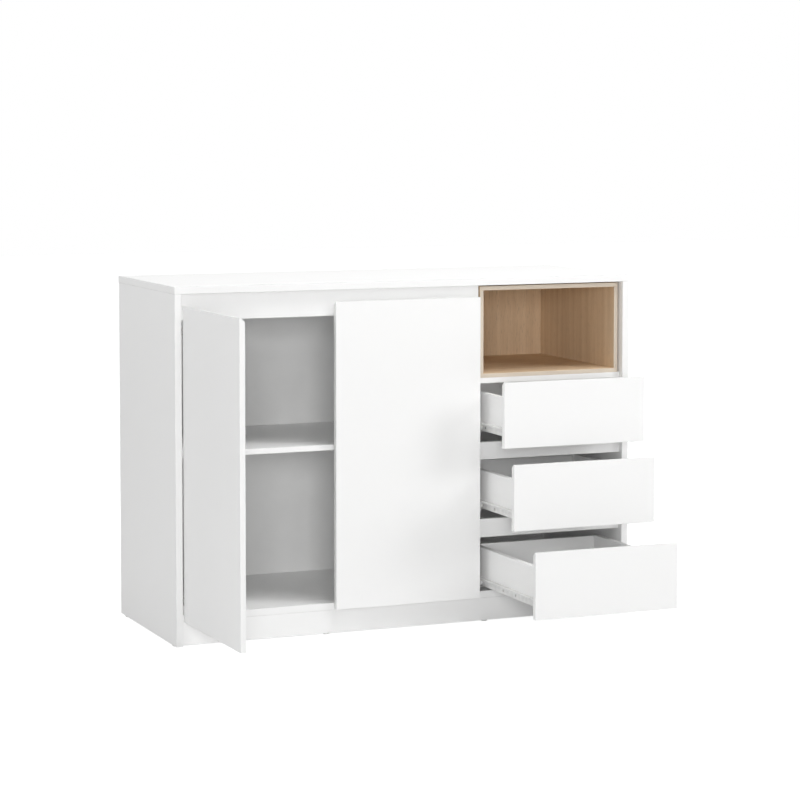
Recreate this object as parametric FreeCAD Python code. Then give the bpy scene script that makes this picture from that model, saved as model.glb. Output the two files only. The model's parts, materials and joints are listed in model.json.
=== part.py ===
"""Sideboard with two doors, an open niche and three drawers, drawn in millimetres.

The origin is the middle of the carcass footprint on the floor.  +Z is up and -Y is the front.
The left door stands open and the drawers are partly pulled out, as stored.
"""
import FreeCAD, Part
import math
import os
from FreeCAD import Vector

# ---------------------------------------------------------------- driving dimensions
WIDTH = 1050.0
DEPTH = 400.0
HEIGHT = 750.0
BOARD = 15.0             # carcass boards
THIN_BOARD = 12.0        # shelf, niche support, doors and drawer boards
NICHE_LINING = 9.0       # the boards of the open box that stands in the niche
NICHE_TOP_GAP = 3.0      # left open above that box, so that it can be slid in
NICHE_RIGHT_GAP = 4.5    # left open at its right
BACK_BOARD = 3.0         # hardboard
GLIDE_HEIGHT = 3.0       # the plastic glides lift every board off the floor
FRONT_RECESS = 15.0      # the inner frame sits this far behind the side panels' front edges
GAP = 0.3                # between boards that only stand beside each other

PLINTH_TOP = 52.0        # the bottom panel lies on the plinth
PARTITION_OFFSET = 680.0     # from the sideboard's left side to the partition's left face
RAIL_DEPTH = 56.0        # height of the rail over the doors
RAIL_END_OFFSET = 692.0  # that rail runs this far across the partition's front edge
SHELF_UNDERSIDE = 393.0
NICHE_BOARD_UNDERSIDE = 521.5
BAY_RAILS = {"bay_rail_low": (185.0, 225.0), "bay_rail_high": (355.0, 393.0)}

FRONT_WIDTH = 335.0      # every door and drawer front is this wide
FRONT_BOTTOM = 54.0
DOOR_TOP = 710.0
GRIP_BEVEL = 7.5         # finger bevel behind the top edge of each door and drawer front
DOOR_SIDE_GAP = 2.5
DOOR_MIDDLE_GAP = 3.0
DRAWER_SIDE_GAP = 4.5    # from the drawer fronts to the right side panel
DRAWER_FRONT_HEIGHT = 141.5
DRAWER_PITCH = 170.0

DRAWER_LENGTH = 350.0
DRAWER_SIDE_HEIGHT = 82.0
DRAWER_SIDE_LIFT = 24.0  # from a drawer front's lower edge up to its sides
DRAWER_PANEL_LIFT = 10.0     # the drawer's bottom panel above the lower edge of its sides
GROOVE_DEPTH = 4.0
SLIDE_SPACE = 13.0       # room for a roller slide at each side of a drawer

# the pose in which the sideboard is stored
LEFT_DOOR_OPEN = 89.0    # degrees
LINK_SHARE = 0.5         # the hinge links turn half as far as the door
PULLED_OUT = {"upper": 111.0, "middle": 160.0, "lower": 265.0}

# concealed hinges, measured from the door's pivot unless said otherwise
PIVOT_X = 16.75          # from the sideboard's side, level with the door's hinged edge
PIVOT_Y = -0.25          # from the front plane
HINGE_HEIGHTS = (92.0, 656.0)
CUP_FROM_EDGE = 22.0
CUP_RADIUS = 17.5
CUP_DEPTH = 9.5
CUP_WALL = 0.8
LINK_INNER_RADIUS = 26.0
LINK_OUTER_RADIUS = 31.0
LINK_ANGLES = (9.5, 62.5)
TONGUE_HALF = 2.5        # the three sets of hinge leaves lie beside each other in height
LINK_LEAF = (3.0, 5.0)
ARM_LEAF = (5.5, 7.5)

# roller slides, measured sideways from the wall that they are screwed to
STEEL = 1.2
CHANNEL_WIDTH = 9.0
CHANNEL_HALF = 10.5      # half the height of the cabinet member
FRONT_ROLLER_RADIUS = 7.3
REAR_ROLLER_RADIUS = 9.2
ROLLER_PIN_RADIUS = 2.0
ROLLER_PLAY = 0.05
SLIDE_AXIS_LIFT = 8.4    # the rollers' height above the lower edge of the drawer side

# fasteners
CAM_RADIUS = 7.5
CAM_BOLT_RADIUS = 2.5
DOWEL_RADIUS = 4.0
DOWEL_LENGTH = 30.0
DOWEL_IN_FACE = 10.0
DRILL_PLAY = 0.1

# ---------------------------------------------------------------- places worked out from them
LEFT = -WIDTH / 2
RIGHT = WIDTH / 2
FRONT = -DEPTH / 2
BACK = DEPTH / 2
INNER_LEFT = LEFT + BOARD
INNER_RIGHT = RIGHT - BOARD
UNDER_TOP = HEIGHT - BOARD
FRAME_FRONT = FRONT + FRONT_RECESS
FRAME_BACK = FRAME_FRONT + BOARD
NAIL_HEAD = 0.8
CARCASS_BACK = BACK - NAIL_HEAD - BACK_BOARD
PARTITION_LEFT = LEFT + PARTITION_OFFSET
PARTITION_RIGHT = PARTITION_LEFT + BOARD
FLOOR_TOP = PLINTH_TOP + BOARD
NICHE_FLOOR = NICHE_BOARD_UNDERSIDE + THIN_BOARD
RAIL_BOTTOM = UNDER_TOP - RAIL_DEPTH
DRAWER_RIGHT = INNER_RIGHT - DRAWER_SIDE_GAP
DRAWER_LEFT = DRAWER_RIGHT - FRONT_WIDTH
BAY_MIDDLE = (PARTITION_RIGHT + INNER_RIGHT) / 2
LEFT_DOOR_LEFT = INNER_LEFT + DOOR_SIDE_GAP
RIGHT_DOOR_LEFT = LEFT_DOOR_LEFT + FRONT_WIDTH + DOOR_MIDDLE_GAP
LEFT_PIVOT = Vector(LEFT + PIVOT_X, FRONT + PIVOT_Y, 0)
DOORS_MIDDLE = RIGHT_DOOR_LEFT - DOOR_MIDDLE_GAP / 2
DRAWERS = {
    "lower": FRONT_BOTTOM,
    "middle": FRONT_BOTTOM + DRAWER_PITCH,
    "upper": FRONT_BOTTOM + 2 * DRAWER_PITCH,
}

X_AXIS = Vector(1, 0, 0)
Y_AXIS = Vector(0, 1, 0)
Z_AXIS = Vector(0, 0, 1)

nodes = {}               # node name to the list of its solids
thickness = {}           # board name to its thickness


# ---------------------------------------------------------------- small tools
def box(x0, x1, y0, y1, z0, z1):
    """A block between two corners."""
    return Part.makeBox(x1 - x0, y1 - y0, z1 - z0, Vector(x0, y0, z0))


def rod(start, direction, length, radius):
    """A round bar that runs from start along direction."""
    return Part.makeCylinder(radius, length, start, direction)


def board(name, x0, x1, y0, y1, z0, z1):
    """A flat board in a node of its own; its smallest side is its thickness."""
    nodes[name] = [box(x0, x1, y0, y1, z0, z1)]
    thickness[name] = min(x1 - x0, y1 - y0, z1 - z0)


def add(name, *solids):
    """Put more solids in a node that holds a group."""
    nodes.setdefault(name, []).extend(solids)


def drill(name, *tools):
    """Cut tools out of a board."""
    nodes[name] = [nodes[name][0].cut(list(tools))]


def move_node(name, change):
    """Apply a placement to every solid of a node."""
    moved = []
    for solid in nodes[name]:
        placed = solid.copy()
        placed.Placement = change.multiply(placed.Placement)
        moved.append(placed)
    nodes[name] = moved


def arc_leaf(inner, outer, angles, z0, z1):
    """A flat curved leaf about the vertical axis through the left door's pivot."""
    start, end = (math.radians(a) for a in angles)
    middle = (start + end) / 2

    def at(radius, angle):
        return LEFT_PIVOT + Vector(radius * math.cos(angle), radius * math.sin(angle), z0)

    edges = [
        Part.Arc(at(outer, start), at(outer, middle), at(outer, end)).toShape(),
        Part.LineSegment(at(outer, end), at(inner, end)).toShape(),
        Part.Arc(at(inner, end), at(inner, middle), at(inner, start)).toShape(),
        Part.LineSegment(at(inner, start), at(outer, start)).toShape(),
    ]
    return Part.Face(Part.Wire(edges)).extrude(Vector(0, 0, z1 - z0))


# ---------------------------------------------------------------- knock-down fittings
def cam_joint(group, holder, receiver, point, toward, face, reach=34.0, thread=10.5):
    """A cam in holder's face draws a bolt that is screwed into receiver's face.

    point lies where the two boards meet, in the middle of holder's thickness.
    """
    half = thickness[holder] / 2
    depth = thickness[holder] - 3.0
    centre = point - toward * reach
    seat = centre + face * (half + 1)
    drill(
        holder,
        rod(seat, face * -1, depth + 1.3, CAM_RADIUS + DRILL_PLAY),
        rod(centre, toward, reach, CAM_BOLT_RADIUS + DRILL_PLAY),
    )
    drill(receiver, rod(point, toward, thread + DRILL_PLAY, CAM_BOLT_RADIUS + DRILL_PLAY))
    cam = rod(centre + face * (half - 0.2), face * -1, depth, CAM_RADIUS)
    cam = cam.cut(rod(centre - toward, toward, CAM_RADIUS + 2, CAM_BOLT_RADIUS + 0.6))
    across = toward.cross(face)
    for long_way, short_way in ((toward, across), (across, toward)):
        corner = centre + face * (half - 1.7) - long_way * 3 - short_way * 0.5
        size = long_way * 6 + short_way * 1.0 + face * 2
        low = Vector(*(min(a, b) for a, b in zip(corner, corner + size)))
        high = Vector(*(max(a, b) for a, b in zip(corner, corner + size)))
        cam = cam.cut(box(low.x, high.x, low.y, high.y, low.z, high.z))
    bolt = rod(centre, toward, reach + thread, CAM_BOLT_RADIUS)
    add(group, cam, bolt)


def dowel_joint(holder, receiver, point, toward):
    """A wooden dowel in holder's edge and receiver's face."""
    start = point + toward * DOWEL_IN_FACE
    hole = rod(start + toward * 0.2, toward * -1, DOWEL_LENGTH + 0.4, DOWEL_RADIUS + DRILL_PLAY)
    drill(holder, hole)
    drill(receiver, hole)
    add("wooden_dowels", rod(start, toward * -1, DOWEL_LENGTH, DOWEL_RADIUS))


# ---------------------------------------------------------------- carcass
def make_carcass_boards():
    low = GLIDE_HEIGHT
    board("top_panel", LEFT, RIGHT, FRONT, BACK, UNDER_TOP, HEIGHT)
    board("left_side_panel", LEFT, INNER_LEFT, FRONT, CARCASS_BACK, low, UNDER_TOP)
    board("right_side_panel", INNER_RIGHT, RIGHT, FRONT, CARCASS_BACK, low, UNDER_TOP)
    board("bottom_panel", INNER_LEFT, INNER_RIGHT, FRAME_FRONT, CARCASS_BACK, PLINTH_TOP, FLOOR_TOP)
    board("centre_partition", PARTITION_LEFT, PARTITION_RIGHT, FRAME_FRONT, CARCASS_BACK,
          FLOOR_TOP, UNDER_TOP)
    board("front_top_rail", INNER_LEFT, LEFT + RAIL_END_OFFSET, FRAME_FRONT, FRAME_BACK,
          RAIL_BOTTOM, UNDER_TOP)
    drill("centre_partition", box(PARTITION_LEFT - 1, PARTITION_RIGHT + 1, FRAME_FRONT - 1,
                                  FRAME_BACK, RAIL_BOTTOM, UNDER_TOP + 1))
    rear = CARCASS_BACK - 12
    board("front_plinth", INNER_LEFT, INNER_RIGHT, FRAME_FRONT, FRAME_BACK, low, PLINTH_TOP)
    board("rear_plinth", INNER_LEFT, INNER_RIGHT, rear - BOARD, rear, low, PLINTH_TOP)
    board("centre_support_rail", -BOARD / 2, BOARD / 2, FRAME_BACK, rear - BOARD, low, PLINTH_TOP)
    for name, (bottom, top) in BAY_RAILS.items():
        board(name, PARTITION_RIGHT, INNER_RIGHT, FRAME_FRONT, FRAME_BACK, bottom, top)
    board("niche_support_board", PARTITION_RIGHT, INNER_RIGHT, FRAME_FRONT, CARCASS_BACK,
          NICHE_BOARD_UNDERSIDE, NICHE_FLOOR)
    board("cupboard_shelf", INNER_LEFT + GAP, PARTITION_LEFT - GAP, FRAME_FRONT + 5,
          CARCASS_BACK - 1, SHELF_UNDERSIDE, SHELF_UNDERSIDE + THIN_BOARD)


def make_niche():
    """The box insert that lines the open niche: roof and floor run across, walls stand between."""
    left = PARTITION_RIGHT + GAP
    right = INNER_RIGHT - NICHE_RIGHT_GAP
    low = NICHE_FLOOR
    high = UNDER_TOP - NICHE_TOP_GAP
    back = CARCASS_BACK - 3
    sheet = NICHE_LINING
    board("niche_floor", left, right, FRAME_FRONT, back, low, low + sheet)
    board("niche_roof", left, right, FRAME_FRONT, back, high - sheet, high)
    board("niche_left_wall", left, left + sheet, FRAME_FRONT, back, low + sheet, high - sheet)
    board("niche_right_wall", right - sheet, right, FRAME_FRONT, back, low + sheet, high - sheet)
    board("niche_back", left + sheet, right - sheet, back - sheet, back, low + sheet, high - sheet)
    for wall, x in (("niche_left_wall", left + sheet / 2), ("niche_right_wall", right - sheet / 2)):
        for y in (FRONT + 60, BACK - 80):
            small_dowel(wall, "niche_floor", Vector(x, y, low + sheet), Z_AXIS * -1)
            small_dowel(wall, "niche_roof", Vector(x, y, high - sheet), Z_AXIS)


def small_dowel(holder, receiver, point, toward):
    """A 5 mm dowel between two boards of the niche's lining."""
    start = point + toward * 6
    hole = rod(start + toward * 0.2, toward * -1, 24.4, 2.5 + DRILL_PLAY)
    drill(holder, hole)
    drill(receiver, hole)
    add("wooden_dowels", rod(start, toward * -1, 24, 2.5))


def join_carcass():
    """Cams, bolts and dowels that hold the carcass together."""
    group = "cam_fittings"
    uprights = (
        ("left_side_panel", LEFT + BOARD / 2, X_AXIS),
        ("right_side_panel", RIGHT - BOARD / 2, X_AXIS * -1),
        ("centre_partition", PARTITION_LEFT + BOARD / 2, X_AXIS * -1),
    )
    for name, x, face in uprights:
        for y in (FRONT + 110, BACK - 65):
            cam_joint(group, name, "top_panel", Vector(x, y, UNDER_TOP), Z_AXIS, face)
            dowel_joint(name, "top_panel", Vector(x, y - 40, UNDER_TOP), Z_AXIS)
    ends = (("left_side_panel", INNER_LEFT, X_AXIS * -1), ("right_side_panel", INNER_RIGHT, X_AXIS))
    for name, x, toward in ends:
        for y in (FRONT + 110, BACK - 65):
            point = Vector(x, y, PLINTH_TOP + BOARD / 2)
            cam_joint(group, "bottom_panel", name, point, toward, Z_AXIS * -1)
            dowel_joint("bottom_panel", name, point - Y_AXIS * 40, toward)
        for plinth, face, y in (
            ("front_plinth", Y_AXIS, FRAME_FRONT + BOARD / 2),
            ("rear_plinth", Y_AXIS * -1, CARCASS_BACK - 12 - BOARD / 2),
        ):
            point = Vector(x, y, (GLIDE_HEIGHT + PLINTH_TOP) / 2)
            cam_joint(group, plinth, name, point, toward, face, reach=24)
    for y in (FRONT + 110, BACK - 65):
        point = Vector(PARTITION_LEFT + BOARD / 2, y, FLOOR_TOP)
        cam_joint(group, "centre_partition", "bottom_panel", point, Z_AXIS * -1, X_AXIS * -1)
        dowel_joint("centre_partition", "bottom_panel", point - Y_AXIS * 40, Z_AXIS * -1)
    for plinth, y, toward in (
        ("front_plinth", FRAME_BACK, Y_AXIS * -1),
        ("rear_plinth", CARCASS_BACK - 12 - BOARD, Y_AXIS),
    ):
        point = Vector(0, y, (GLIDE_HEIGHT + PLINTH_TOP) / 2)
        cam_joint(group, "centre_support_rail", plinth, point, toward, X_AXIS, reach=24)
    shelf_ends = (("centre_partition", PARTITION_RIGHT, X_AXIS * -1),
                  ("right_side_panel", INNER_RIGHT, X_AXIS))
    for name, x, toward in shelf_ends:
        for rail, (bottom, top) in BAY_RAILS.items():
            point = Vector(x, FRAME_FRONT + BOARD / 2, (bottom + top) / 2)
            cam_joint(group, rail, name, point, toward, Y_AXIS, reach=24)
        for y in (FRONT + 80, BACK - 65):
            point = Vector(x, y, NICHE_BOARD_UNDERSIDE + THIN_BOARD / 2)
            cam_joint(group, "niche_support_board", name, point, toward, Z_AXIS * -1, reach=24)
    middle = (RAIL_BOTTOM + UNDER_TOP) / 2
    rail_line = FRAME_FRONT + BOARD / 2
    cam_joint(group, "front_top_rail", "left_side_panel", Vector(INNER_LEFT, rail_line, middle),
              X_AXIS * -1, Y_AXIS, reach=24)
    for x in (LEFT + 200, LEFT + 500):
        cam_joint(group, "front_top_rail", "top_panel", Vector(x, rail_line, UNDER_TOP),
                  Z_AXIS, Y_AXIS, reach=24)
    dowel_joint("centre_partition", "front_top_rail",
                Vector(PARTITION_LEFT + 6, FRAME_BACK, middle), Y_AXIS * -1)


def make_shelf_pins():
    """Four pins in the cupboard walls carry the shelf."""
    radius = 2.5
    z = SHELF_UNDERSIDE - radius
    for name, x, way in (
        ("left_side_panel", INNER_LEFT, X_AXIS),
        ("centre_partition", PARTITION_LEFT, X_AXIS * -1),
    ):
        for y in (FRONT + 60, BACK - 60):
            seat = Vector(x, y, z)
            pin = rod(seat - way * 8, way, 16, radius)
            collar = rod(seat, way, 1.5, radius + 1.5)
            ledge = box(-40, 40, -40, 40, SHELF_UNDERSIDE, SHELF_UNDERSIDE + 9)
            ledge.translate(Vector(x, y, 0))
            add("shelf_pins", pin.fuse(collar).cut(ledge).removeSplitter())
            drill(name, rod(seat, way * -1, 8.2, radius + DRILL_PLAY))


def make_back():
    """Two hardboard panels nailed to the rear edges; they meet behind the partition."""
    seam = PARTITION_LEFT + BOARD / 2
    front = CARCASS_BACK
    back = CARCASS_BACK + BACK_BOARD
    low = PLINTH_TOP + 2
    high = UNDER_TOP - GAP
    board("left_back_panel", LEFT + 1, seam - 0.5, front, back, low, high)
    board("right_back_panel", seam + 0.5, RIGHT - 1, front, back, low, high)
    places = []
    rows = [low + 26 + k * 106.0 for k in range(7)]
    for z in rows:
        places.append(("left_back_panel", "left_side_panel", LEFT + BOARD / 2, z))
        places.append(("right_back_panel", "right_side_panel", RIGHT - BOARD / 2, z))
        places.append(("left_back_panel", "centre_partition", seam - 4, z))
        places.append(("right_back_panel", "centre_partition", seam + 4, z - 12))
    for k in range(5):
        x = LEFT + 80 + k * 130.0
        places.append(("left_back_panel", "bottom_panel", x, PLINTH_TOP + BOARD / 2))
    for k in range(3):
        x = PARTITION_RIGHT + 60 + k * 110.0
        places.append(("right_back_panel", "bottom_panel", x, PLINTH_TOP + BOARD / 2))
    for panel, behind, x, z in places:
        nail = rod(Vector(x, back, z), Y_AXIS * -1, 16, 0.8)
        head = rod(Vector(x, back, z), Y_AXIS, NAIL_HEAD, 2.5)
        add("carcass_screws_and_nails", nail.fuse(head).removeSplitter())
        hole = rod(Vector(x, back + 1, z), Y_AXIS * -1, 17.2, 0.85)
        drill(panel, hole)
        drill(behind, hole)


def make_glides():
    """Round nail-on glides under the side panels, the plinths and the centre support."""
    rear = CARCASS_BACK - 12 - BOARD / 2
    line = FRAME_FRONT + BOARD / 2
    places = [("centre_support_rail", 0, 0)]
    for name, x in (("left_side_panel", LEFT + BOARD / 2), ("right_side_panel", RIGHT - BOARD / 2)):
        places += [(name, x, FRONT + 30), (name, x, BACK - 35)]
    for x in (LEFT + 340, RIGHT - 340):
        places += [("front_plinth", x, line), ("rear_plinth", x, rear)]
    for name, x, y in places:
        pad = Part.makeCone(6, 7.2, GLIDE_HEIGHT, Vector(x, y, 0), Z_AXIS)
        nail = rod(Vector(x, y, GLIDE_HEIGHT - 1), Z_AXIS, 14, 1)
        add("floor_glides", pad.fuse(nail).removeSplitter())
        drill(name, rod(Vector(x, y, GLIDE_HEIGHT), Z_AXIS, 13.5, 1 + DRILL_PLAY))


# ---------------------------------------------------------------- doors and their hinges
def beveled_front(name, x0, x1, z0, z1):
    """A door or drawer front with the finger bevel behind its top edge."""
    board(name, x0, x1, FRONT, FRONT + THIN_BOARD, z0, z1)
    back = FRONT + THIN_BOARD
    wedge = Part.makePolygon([
        Vector(x0 - 1, back - GRIP_BEVEL, z1),
        Vector(x0 - 1, back, z1 - GRIP_BEVEL),
        Vector(x0 - 1, back + 1, z1 - GRIP_BEVEL),
        Vector(x0 - 1, back + 1, z1 + 1),
        Vector(x0 - 1, back - GRIP_BEVEL, z1 + 1),
        Vector(x0 - 1, back - GRIP_BEVEL, z1),
    ])
    drill(name, Part.Face(wedge).extrude(Vector(x1 - x0 + 2, 0, 0)))


def hinge_cup(z):
    """The cup in the left door, its flange plate and the tongue that reaches towards the arm."""
    back = FRONT + THIN_BOARD
    centre = Vector(LEFT_DOOR_LEFT + CUP_FROM_EDGE, back, z)
    inward = Y_AXIS * -1
    shell = rod(centre, inward, CUP_DEPTH, CUP_RADIUS)
    ring = rod(centre, Y_AXIS, STEEL, CUP_RADIUS + 1)
    plate = box(centre.x - 9, centre.x + 13, back, back + STEEL, z - 28, z + 28)
    cavity = rod(centre + Y_AXIS * 2, inward, CUP_DEPTH - CUP_WALL + 2, CUP_RADIUS - CUP_WALL)
    cup = shell.fuse([ring, plate]).cut(cavity)
    tongue = arc_leaf(LINK_INNER_RADIUS, LINK_OUTER_RADIUS, LINK_ANGLES, z - TONGUE_HALF,
                      z + TONGUE_HALF)
    floor = back - CUP_DEPTH + CUP_WALL
    stem = box(LEFT_PIVOT.x + LINK_INNER_RADIUS, LEFT_PIVOT.x + LINK_OUTER_RADIUS - 1,
               floor - 0.3, floor + 3.5, z - TONGUE_HALF, z + TONGUE_HALF)
    return cup.fuse([tongue, stem]).removeSplitter()


def hinge_screws(z):
    """The two screws that hold a cup's plate, with the holes that they need."""
    back = FRONT + THIN_BOARD + STEEL
    x = LEFT_DOOR_LEFT + CUP_FROM_EDGE + 9
    seats = [Vector(x, back, z - 22.5), Vector(x, back, z + 22.5)]
    screws = []
    holes = []
    for seat in seats:
        head = rod(seat, Y_AXIS, 1.2, 3.2)
        shank = rod(seat, Y_AXIS * -1, 9.5, 1.6)
        screws.append(head.fuse(shank).removeSplitter())
        holes.append(rod(seat + Y_AXIS, Y_AXIS * -1, 10.7, 1.6 + ROLLER_PLAY))
    return screws, holes


def hinge_links(z):
    """Two leaves, above and below the tongue, that slide out of the arm as the door opens."""
    leaves = []
    for low, high in (LINK_LEAF, (-LINK_LEAF[1], -LINK_LEAF[0])):
        leaves.append(arc_leaf(LINK_INNER_RADIUS, LINK_OUTER_RADIUS, LINK_ANGLES, z + low, z + high))
    return leaves


def hinge_arm(z, wall):
    """The arm on the cabinet side: wall is the x of the board that it stands on."""
    front = FRONT + 26
    middle = FRONT + 34
    end = FRONT + 76
    face = wall + 2
    outer = LEFT_PIVOT.x + 22
    pieces = []
    for low, high in (ARM_LEAF, (-ARM_LEAF[1], -ARM_LEAF[0])):
        pieces.append(arc_leaf(LINK_INNER_RADIUS, LINK_OUTER_RADIUS, LINK_ANGLES, z + low, z + high))
        pieces.append(box(face, outer, front - 3, middle + 1, z + low, z + high))
    pieces.append(box(face, face + 10, middle, end, z - ARM_LEAF[1], z + ARM_LEAF[1]))
    arm = pieces[0].fuse(pieces[1:]).removeSplitter()
    slot = box(face + 3, face + 11, middle + 6, end - 10, z - 5.5, z + 5.5)
    adjuster = rod(Vector(face + 1, end - 20, z), X_AXIS, 7.5, 3.6)
    plate = box(wall, face, FRONT + 40, FRONT + 72, z - 22, z + 22)
    return [arm.cut(slot).fuse(adjuster).removeSplitter(), plate]


def make_door(side, left):
    """One door panel with its pockets, cups, links and arms; the right one is a mirror image."""
    panel = side + "_door_panel"
    beveled_front(panel, left, left + FRONT_WIDTH, FRONT_BOTTOM, DOOR_TOP)
    back = FRONT + THIN_BOARD
    mirrored = side == "right"
    upright = "centre_partition" if mirrored else "left_side_panel"
    wall = 2 * DOORS_MIDDLE - PARTITION_LEFT if mirrored else INNER_LEFT

    def placed(solid):
        return solid.mirror(Vector(DOORS_MIDDLE, 0, 0), X_AXIS) if mirrored else solid

    for z in HINGE_HEIGHTS:
        centre = Vector(LEFT_DOOR_LEFT + CUP_FROM_EDGE, back, z)
        pocket = rod(centre + Y_AXIS, Y_AXIS * -1, CUP_DEPTH + 1.2, CUP_RADIUS + DRILL_PLAY)
        screws, holes = hinge_screws(z)
        cup = hinge_cup(z).cut(holes)
        add(side + "_hinge_cups", placed(cup), *[placed(s) for s in screws])
        drill(panel, placed(pocket), *[placed(h) for h in holes])
        add(side + "_hinge_links", *[placed(s) for s in hinge_links(z)])
        arm, plate = hinge_arm(z, wall)
        for offset in (-16, 16):
            seat = Vector(wall + 2, FRONT + 56, z + offset)
            shank = rod(seat, X_AXIS * -1, 12, 1.8)
            head = rod(seat, X_AXIS, 1.4, 3.6)
            hole = rod(seat + X_AXIS, X_AXIS * -1, 13.2, 1.8 + ROLLER_PLAY)
            plate = plate.cut(hole)
            add("carcass_screws_and_nails", placed(head.fuse(shank).removeSplitter()))
            drill(upright, placed(hole))
        add("hinge_arms", placed(arm), placed(plate))


# ---------------------------------------------------------------- drawers
def cabinet_member(axis_z):
    """The fixed half of the left roller slide, with the pin of its front roller."""
    wall = PARTITION_RIGHT
    front = FRAME_FRONT + 2
    back = front + DRAWER_LENGTH
    low = axis_z - CHANNEL_HALF
    high = axis_z + CHANNEL_HALF
    pieces = [
        box(wall, wall + STEEL, front, back, low, high),
        box(wall, wall + CHANNEL_WIDTH, front, back, low, low + 1),
        box(wall, wall + CHANNEL_WIDTH, front + 14, back, high - 1, high),
        box(wall + CHANNEL_WIDTH - 1, wall + CHANNEL_WIDTH, front + 24, back, low, low + 2.6),
        rod(Vector(wall, front + 9, axis_z), X_AXIS, 10.4, ROLLER_PIN_RADIUS),
    ]
    return pieces[0].fuse(pieces[1:]).removeSplitter()


def drawer_member(axis_z, lift):
    """The moving half of the left roller slide, with the pin of its rear roller."""
    inner = PARTITION_RIGHT + SLIDE_SPACE
    web = inner - STEEL
    front = FRONT + THIN_BOARD + GAP
    back = FRONT + THIN_BOARD + DRAWER_LENGTH
    top = axis_z + 8.8
    flange_end = back - 20.5
    pieces = [
        box(web, inner, front, back - 4, lift - STEEL, top),
        box(web, inner + THIN_BOARD, front, back - 4, lift - STEEL, lift),
        box(PARTITION_RIGHT + 3, inner, front, flange_end, top - STEEL, top),
        box(PARTITION_RIGHT + 3, PARTITION_RIGHT + 4, front, flange_end, top - 3.2, top),
        rod(Vector(inner, back - 10, axis_z), X_AXIS * -1, 10, ROLLER_PIN_RADIUS),
    ]
    return pieces[0].fuse(pieces[1:]).removeSplitter()


def roller(x, y, z, width, radius):
    """A nylon roller that turns on a pin along X."""
    wheel = rod(Vector(x, y, z), X_AXIS, width, radius)
    groove = rod(Vector(x + width - 0.8, y, z), X_AXIS, 1, radius - 1.6)
    hub = rod(Vector(x + width - 1, y, z), X_AXIS, 1, ROLLER_PIN_RADIUS + 1.4)
    bore = rod(Vector(x - 1, y, z), X_AXIS, width + 2, ROLLER_PIN_RADIUS + ROLLER_PLAY)
    return wheel.cut(groove).fuse(hub).cut(bore).removeSplitter()


def other_side(solid):
    """The mirror image at the other side of the drawer bay."""
    return solid.mirror(Vector(BAY_MIDDLE, 0, 0), X_AXIS)


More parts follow.
